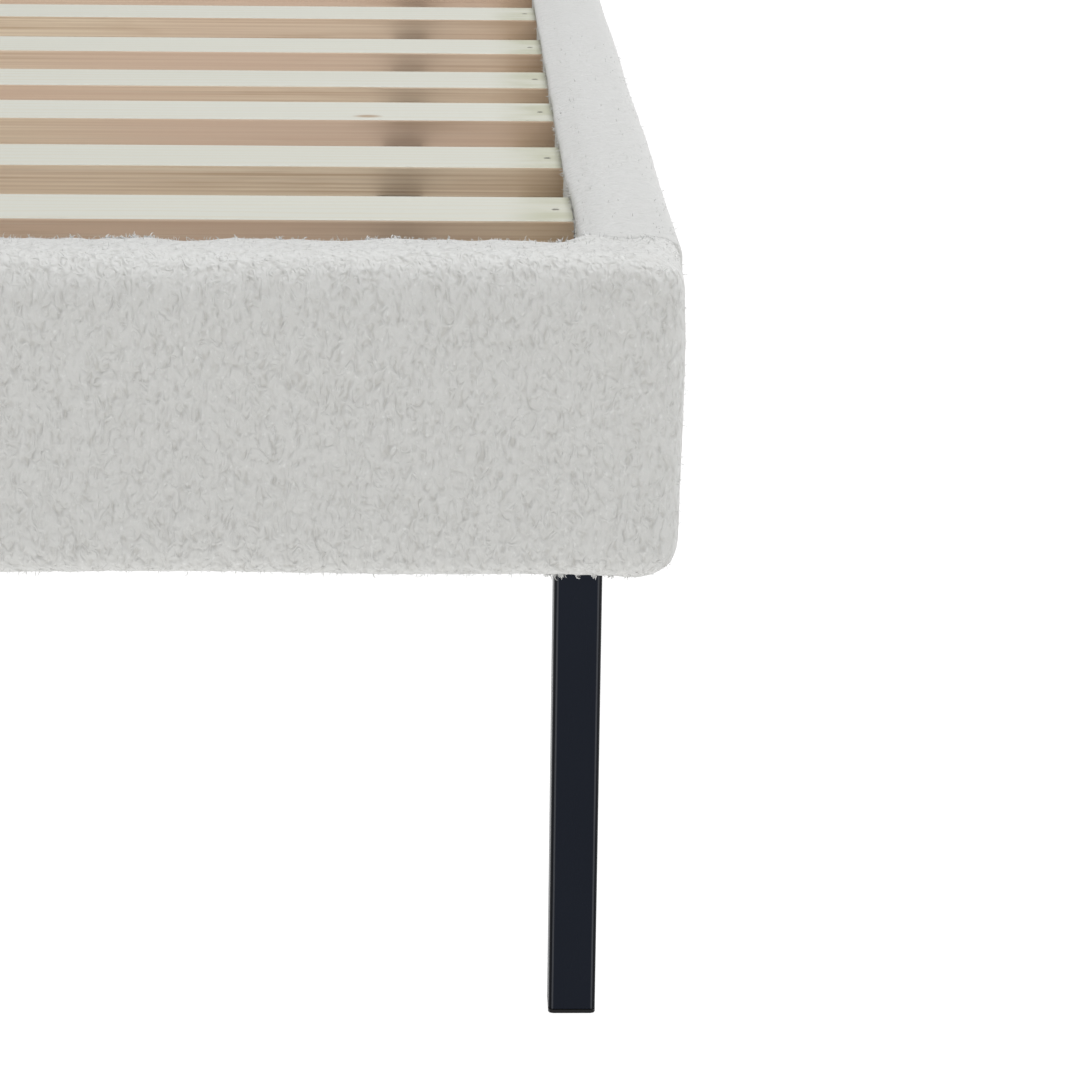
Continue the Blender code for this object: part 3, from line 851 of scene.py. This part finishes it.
def back_cloth():
    """Thin cloth stapled round its border. It hangs slack by a hair between the staples."""
    low, high = corners("headboard_back_cloth")
    xs, zs = even(low[0], high[0], 0.012), even(low[2], high[2], 0.012)
    z, x = np.meshgrid(zs, xs, indexing="ij")
    middle = np.full_like(x, high[1] - 0.0010)
    start = np.stack([x, middle, z], axis=-1).reshape(-1, 3)
    start[:, 1] -= np.abs(waves(start, 51, 0.30, 0.0006))
    quads = grid_quads(np.arange(x.size).reshape(x.shape))[:, [0, 3, 2, 1]]
    made = add_piece("back_cloth", start, quads.tolist(), DUST, "dust_cloth")
    from_sides = np.minimum(x - low[0], high[0] - x)
    stapled = np.minimum(from_sides, np.minimum(z - low[2], high[2] - z)) < 0.02
    let_settle(made, stapled.ravel(), 0.03, 0.0006, 14)
    settled = read_points(made.data).reshape(*x.shape, 3)
    settled[..., 1] = np.clip(settled[..., 1], high[1] - 0.0016, high[1] - 0.0006)
    front, behind = settled.copy(), settled.copy()
    front[..., 1] -= 0.0004
    behind[..., 1] += 0.0004
    points, faces = closed_sheet(front, behind)
    made.data.clear_geometry()
    made.data.from_pydata(points.tolist(), [], faces)
    made.data.shade_smooth()
    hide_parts("headboard_back_cloth")


# ---------------------------------------------------------------- legs

PLATE = 0.003  # thickness of the plate
WALL = 0.0015  # thickness of the tube
ROUND_OUT, ROUND_IN = 0.0027, 0.0015
PLATE_CORNER = 0.004
SOFT = 0.0006  # the plate's softened edge


def rounded_ring(low, high, radius, z, steps):
    """Points round a rectangle with rounded corners, the same number for any radius."""
    left, right, front, back = low[0] + radius, high[0] - radius, low[1] + radius, high[1] - radius
    points = []
    for quarter, (x, y) in enumerate(((right, back), (left, back), (left, front), (right, front))):
        for step in range(steps + 1):
            angle = (quarter + step / steps) * math.pi / 2
            points.append((x + radius * math.cos(angle), y + radius * math.sin(angle), z))
    return points


def wrapped(rings, around=False):
    """A skin over rings of the same number of points. With around, the last ring joins the first."""
    count = len(rings[0])
    points = [point for ring in rings for point in ring]
    faces = []
    for level in range(len(rings) if around else len(rings) - 1):
        above = (level + 1) % len(rings)
        for i in range(count):
            j = (i + 1) % count
            a, b = level * count, above * count
            faces.append((a + i, a + j, b + j, b + i))
    return points, faces


def capped(rings):
    """A closed skin over rings, with a middle point at each end."""
    points, faces = wrapped(rings)
    count = len(rings[0])
    for level, flip in ((0, True), (len(rings) - 1, False)):
        first = level * count
        middle = Vector((0, 0, 0))
        for i in range(count):
            middle += Vector(points[first + i]) / count
        points.append(tuple(middle))
        for i in range(count):
            a, b = first + i, first + (i + 1) % count
            faces.append((b, a, len(points) - 1) if flip else (a, b, len(points) - 1))
    return points, faces


def leg(node, foot):
    """A square tube with rounded corners, a bead of weld round its top and a plate over it."""
    low, high = low_high(node)
    foot_low, foot_high = low_high(foot)
    centre = (foot_low + foot_high) / 2
    half, top = (foot_high.x - foot_low.x) / 2, high.z - PLATE
    profile = (
        (half - 0.0003, ROUND_OUT, low.z),
        (half, ROUND_OUT, low.z + 0.0003),
        (half, ROUND_OUT, top - 0.0024),
        (half + 0.0007, ROUND_OUT, top - 0.0009),
        (half + 0.0022, ROUND_OUT, top + 0.0001),
        (half - WALL, ROUND_IN, top + 0.0001),
        (half - WALL, ROUND_IN, low.z),
    )
    x, y, _ = centre
    points, faces = wrapped(
        [rounded_ring((x - far, y - far), (x + far, y + far), radius, z, 7) for far, radius, z in profile],
        around=True,
    )
    soft = Vector((SOFT, SOFT, 0))
    rings = [
        rounded_ring(low + soft, high - soft, PLATE_CORNER, top, 4),
        rounded_ring(low, high, PLATE_CORNER, top + SOFT, 4),
        rounded_ring(low, high, PLATE_CORNER, high.z - SOFT, 4),
        rounded_ring(low + soft, high - soft, PLATE_CORNER, high.z, 4),
    ]
    more, more_faces = capped(rings)
    faces += [tuple(index + len(points) for index in face) for face in more_faces]
    made = add_piece(f"{node}_tube", points + more, faces, POWDER, "black_powder_coat", 40)
    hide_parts(node)


def legs():
    for end in ("foot", "head"):
        for side in ("left", "right"):
            leg(f"leg_{end}_{side}", f"leg_cap_{end}_{side}")
    for number in (1, 2):
        leg(f"support_leg_{number}", f"leveller_plug_{number}")


# ---------------------------------------------------------------- fasteners


def circle(count, radius, height, shape=None):
    ring = []
    for i in range(count):
        angle = 2 * math.pi * i / count
        reach = radius * (shape(angle) if shape else 1.0)
        ring.append((reach * math.cos(angle), reach * math.sin(angle), height))
    return ring


def cross(angle):
    off = abs((angle + math.pi / 4) % (math.pi / 2) - math.pi / 4)
    return 1.0 if off < 0.24 else 0.36


def hexagon(angle):
    off = (angle + math.pi / 6) % (math.pi / 3) - math.pi / 6
    return math.cos(math.pi / 6) / math.cos(off)


def screw_head(radius, rise):
    """A round head with a cross recess. Its top is rise above the face it is driven into."""
    profile = (
        (radius * 0.55, -radius),
        (radius, -0.0001),
        (radius * 0.97, rise * 0.55),
        (radius * 0.80, rise),
        (radius * 0.58, rise, cross),
        (radius * 0.50, rise - radius * 0.5, cross),
    )
    return capped([circle(40, *row) for row in profile])


def bolt_head(radius, height):
    """A hexagon head with a rounded top, on a washer."""
    profile = (
        (radius * 1.75, 0.0001),
        (radius * 1.75, 0.0010),
        (radius * 1.70, 0.0013),
        (radius * 1.16, 0.0013, hexagon),
        (radius * 1.16, height * 0.86, hexagon),
        (radius * 0.98, height),
        (radius * 0.55, height),
        (radius * 0.50, height - 0.0004),
    )
    return capped([circle(36, *row) for row in profile])


def staple_wire():
    """The crown of a staple, with its two ends bent into the wood."""
    half, thick, crown, bent, leg_end = 0.0050, 0.00045, 0.0005, 0.0001, -0.0012
    centres = [(-half, leg_end), (-half, bent), (-half * 0.9, crown)]
    centres += [(-x, z) for x, z in reversed(centres)]
    rings = []
    for i, (x, z) in enumerate(centres):
        before, after = centres[max(i - 1, 0)], centres[min(i + 1, len(centres) - 1)]
        way = Vector((after[0] - before[0], 0, after[1] - before[1])).normalized()
        side = Vector((-way.z, 0, way.x))
        ring = []
        for k in range(6):
            angle = k * math.pi / 3
            off = side * thick * math.cos(angle) + Vector((0, 1, 0)) * thick * math.sin(angle)
            ring.append(tuple(Vector((x, 0, z)) + off))
        rings.append(ring[::-1])
    return capped(rings)


def copies(name, shape, places, look, slot):
    """One piece made of many copies. Each place is a point, the way its top faces and a turn."""
    points, faces = shape
    base = np.array(points)
    all_points, all_faces = [], []
    for spot, facing, turn in places:
        turned = Vector(facing).to_track_quat("Z", "Y").to_matrix() @ Matrix.Rotation(turn, 3, "Z")
        first = len(all_points) * len(base)
        all_faces.extend(tuple(index + first for index in face) for face in faces)
        all_points.append(base @ np.array(turned).T + np.array(spot))
    add_piece(name, np.concatenate(all_points), all_faces, look, slot, 32)


UP, DOWN, BACKWARDS = (0, 0, 1), (0, 0, -1), (0, 1, 0)
SCREW_INSET = 0.0090  # from a slat's end
STAPLE_PITCH = 0.055
HEM_INSET = 0.008
ON_PLATE = 0.0031  # the plates are 3 mm thick, and heads start just above them
BOLT_REACH = 0.042  # from the corner
PLATE_INSET = 0.010


def fasteners():
    rng = np.random.default_rng(77)

    def any_turn():
        return rng.uniform(0, 2 * math.pi)

    slat_screws, strap_staples = [], []
    for slat in SLATS:
        low, high = low_high(slat)
        for x in (low.x + SCREW_INSET, high.x - SCREW_INSET):
            y = (low.y + high.y) / 2 + rng.uniform(-0.004, 0.004)
            slat_screws.append(((x, y, high.z), UP, any_turn()))
        for name in ("left", "right"):
            strap_low, strap_high = low_high(f"slat_strap_{name}")
            x = (strap_low.x + strap_high.x) / 2 + rng.uniform(-0.002, 0.002)
            for share in (0.28, 0.72):
                spot = (x, low.y + (high.y - low.y) * share, strap_low.z + 0.0001)
                strap_staples.append((spot, DOWN, rng.uniform(-0.12, 0.12)))
    copies("slat_screws", screw_head(0.0021, 0.00012), slat_screws, DULL, "zinc_plate")
    copies("strap_staples", staple_wire(), strap_staples, ZINC, "zinc_plate")

    low, high = low_high("headboard_back_cloth")
    back_staples = []
    face = high.y - 0.0002
    across = int((high.x - low.x) / STAPLE_PITCH)
    for i in range(across + 1):
        x = low.x + 0.012 + (high.x - low.x - 0.024) * i / across
        for z in (low.z + HEM_INSET, high.z - HEM_INSET):
            spot = (x, face, z + rng.uniform(-0.001, 0.001))
            back_staples.append((spot, BACKWARDS, rng.uniform(-0.1, 0.1)))
    up = int((high.z - low.z) / STAPLE_PITCH)
    for i in range(1, up):
        z = low.z + (high.z - low.z) * i / up
        for x in (low.x + HEM_INSET, high.x - HEM_INSET):
            turn = math.pi / 2 + rng.uniform(-0.1, 0.1)
            back_staples.append(((x, face, z), BACKWARDS, turn))
    copies("back_staples", staple_wire(), back_staples, ZINC, "zinc_plate")

    bolts, plate_screws = [], []
    for end, inward in (("foot", 1), ("head", -1)):
        for name, side in (("left", -1), ("right", 1)):
            low, high = low_high(f"corner_bracket_{end}_{name}")
            face_y = low.y if inward > 0 else high.y
            face_x = high.x if side > 0 else low.x
            for height in (0.30, 0.72):
                z = low.z + (high.z - low.z) * height
                for off_x, off_y, facing in (
                    (BOLT_REACH, ON_PLATE, (0, inward, 0)),
                    (ON_PLATE, BOLT_REACH, (-side, 0, 0)),
                ):
                    spot = (face_x - side * off_x, face_y + inward * off_y, z)
                    bolts.append((spot, facing, any_turn()))
            low, high = low_high(f"leg_{end}_{name}")
            under = high.z - ON_PLATE
            in_x, out_x = (low.x, high.x) if side > 0 else (high.x, low.x)
            in_y, out_y = (high.y, low.y) if inward > 0 else (low.y, high.y)
            in_x, out_x = in_x + side * PLATE_INSET, out_x - side * PLATE_INSET
            in_y, out_y = in_y - inward * PLATE_INSET, out_y + inward * PLATE_INSET
            for x, y in ((in_x, in_y), (out_x, in_y), (in_x, out_y)):
                plate_screws.append(((x, y, under), DOWN, any_turn()))
        low, high = low_high(f"beam_hanger_{end}")
        face_y = (low.y if inward > 0 else high.y) + inward * ON_PLATE
        for x in (low.x + 0.011, high.x - 0.011):
            for z in (low.z + 0.014, high.z - 0.012):
                plate_screws.append(((x, face_y, z), (0, inward, 0), any_turn()))
    copies("corner_bolts", bolt_head(0.0050, 0.0050), bolts, ZINC, "zinc_plate")
    copies("plate_screws", screw_head(0.0042, 0.0018), plate_screws, DULL, "zinc_plate")

    ledge_screws = []
    for name, side in (("left", -1), ("right", 1)):
        low, high = low_high(f"slat_ledge_{name}")
        face = low.x if side > 0 else high.x
        for i in range(9):
            y = low.y + 0.07 + (high.y - low.y - 0.14) * i / 8
            ledge_screws.append(((face, y, (low.z + high.z) / 2), (-side, 0, 0), any_turn()))
    for end, inward in (("foot", 1), ("head", -1)):
        low, high = low_high(f"end_ledge_{end}")
        face = high.y if inward > 0 else low.y
        for share in (0.08, 0.27, 0.73, 0.92):
            x = low.x + (high.x - low.x) * share
            ledge_screws.append(((x, face, (low.z + high.z) / 2), (0, inward, 0), any_turn()))
    copies("ledge_screws", screw_head(0.0032, 0.0002), ledge_screws, DULL, "zinc_plate")


# ---------------------------------------------------------------- carried-over nodes


def dress_nodes():
    looks = {
        PINE: ("slat_", "end_ledge", "headboard_stile", "headboard_rail"),
        BOARD: ("headboard_ply", "foot_rail_board", "side_rail_board"),
        PLASTIC: ("leveller_plug", "levelling_foot", "leg_cap"),
        POWDER: ("centre_beam", "leg_", "support_leg"),
        ZINC: ("corner_bracket", "beam_hanger"),
        WEBBING: ("slat_strap",),
        DUST: ("headboard_back",),
    }
    starts = [(start, look) for look, names in looks.items() for start in names]
    for name, node in NODES.items():
        fitting = [(len(start), look) for start, look in starts if name.startswith(start)]
        if fitting:
            node.data.materials.clear()
            node.data.materials.append(max(fitting, key=lambda row: row[0])[1])


# ---------------------------------------------------------------- studio


def aim_camera():
    """The photographed view: over the foot corner on the right, from in front and a little above."""
    corner = low_high("leg_cap_foot_right")[0]
    offset = Vector((-0.05545, -1.59842, 0.75605))
    pitch, yaw, roll = (math.radians(angle) for angle in (17.078, 1.7215, 0.6765))
    ahead = Vector((math.sin(yaw) * math.cos(pitch), math.cos(yaw) * math.cos(pitch), -math.sin(pitch)))
    right = Vector((math.cos(yaw), -math.sin(yaw), 0.0))
    up = right.cross(ahead)
    rolled_right = right * math.cos(roll) + up * math.sin(roll)
    rolled_up = up * math.cos(roll) - right * math.sin(roll)
    data = bpy.data.cameras.new("camera")
    data.sensor_width = 36.0
    data.lens = 109.1
    data.clip_end = 100.0
    camera = place_object("camera", data)
    turn = Matrix((rolled_right, rolled_up, -ahead)).transposed()
    camera.matrix_world = Matrix.Translation(corner + offset) @ turn.to_4x4()
    bpy.context.scene.camera = camera


def soft_light(name, place, target, size, power, tint=(1.0, 1.0, 1.0)):
    data = bpy.data.lights.new(name, "AREA")
    data.color = tint
    data.shape = "RECTANGLE"
    data.size, data.size_y = size
    data.energy = power
    light = place_object(name, data)
    light.location = place
    light.rotation_euler = (Vector(target) - Vector(place)).to_track_quat("-Z", "Y").to_euler()


WHITE = (1.0, 1.0, 1.0, 1.0)
FLOOR_HALF = 30.0
FILL = 0.26  # light from the pale surroundings, which the camera itself sees as white


def studio():
    sheet = bpy.data.meshes.new("floor")
    spots = [(x, y, 0.0) for y in (-FLOOR_HALF, FLOOR_HALF) for x in (-FLOOR_HALF, FLOOR_HALF)]
    sheet.from_pydata(spots, [], [(0, 1, 3, 2)])
    sheet.shade_smooth()
    floor = place_object("floor", sheet)
    floor.location.z = -0.0002

    def build(tree):
        tone = tree.noise(tree.own(), 0.6, 1.0)
        return tree.mix(tone, (0.10, 0.10, 0.10), (0.11, 0.11, 0.11)), None, None

    glow = {"Emission_Color": WHITE, "Emission_Strength": 1.0}
    sheet.materials.append(material("pale_floor", build, Roughness=1.0, **glow))
    world = bpy.data.worlds.new("studio")
    world.use_nodes = True
    sky = Tree(world.node_tree)
    fill = world.node_tree.nodes["Background"]
    fill.inputs["Color"].default_value = (0.98, 0.99, 1.0, 1.0)
    fill.inputs["Strength"].default_value = FILL
    backdrop = sky.add("ShaderNodeBackground", {"Color": WHITE, "Strength": 1.0})
    seen = sky.add("ShaderNodeLightPath").outputs["Is Camera Ray"]
    mixed = sky.add("ShaderNodeMixShader", {0: seen, 1: fill.outputs[0], 2: backdrop.outputs[0]})
    sky.feed(world.node_tree.nodes["World Output"].inputs["Surface"], mixed.outputs[0])
    bpy.context.scene.world = world
    cool = (0.972, 0.980, 1.0)
    by_leg = (0.76, -1.0, 0.2)
    soft_light("overhead", (1.5, -0.5, 3.4), (0.5, -0.4, 0.3), (3.4, 3.4), 125.0, cool)
    soft_light("front_left", (-2.4, -2.6, 1.3), (0.5, -1.0, 0.3), (1.6, 1.8), 9.0)
    soft_light("strip_left", (-0.55, -4.3, 0.9), by_leg, (0.3, 2.2), 9.0)
    soft_light("strip_right", (2.1, -4.3, 0.9), by_leg, (0.3, 2.2), 12.5)
    bpy.context.scene.view_settings.view_transform = "Standard"
    bpy.context.scene.view_settings.look = "None"


aim_camera()
studio()
dress_nodes()
foot_rail()
side_rail(1, "right")
side_rail(-1, "left")
headboard()
strap("left")
strap("right")
back_cloth()
legs()
fasteners()
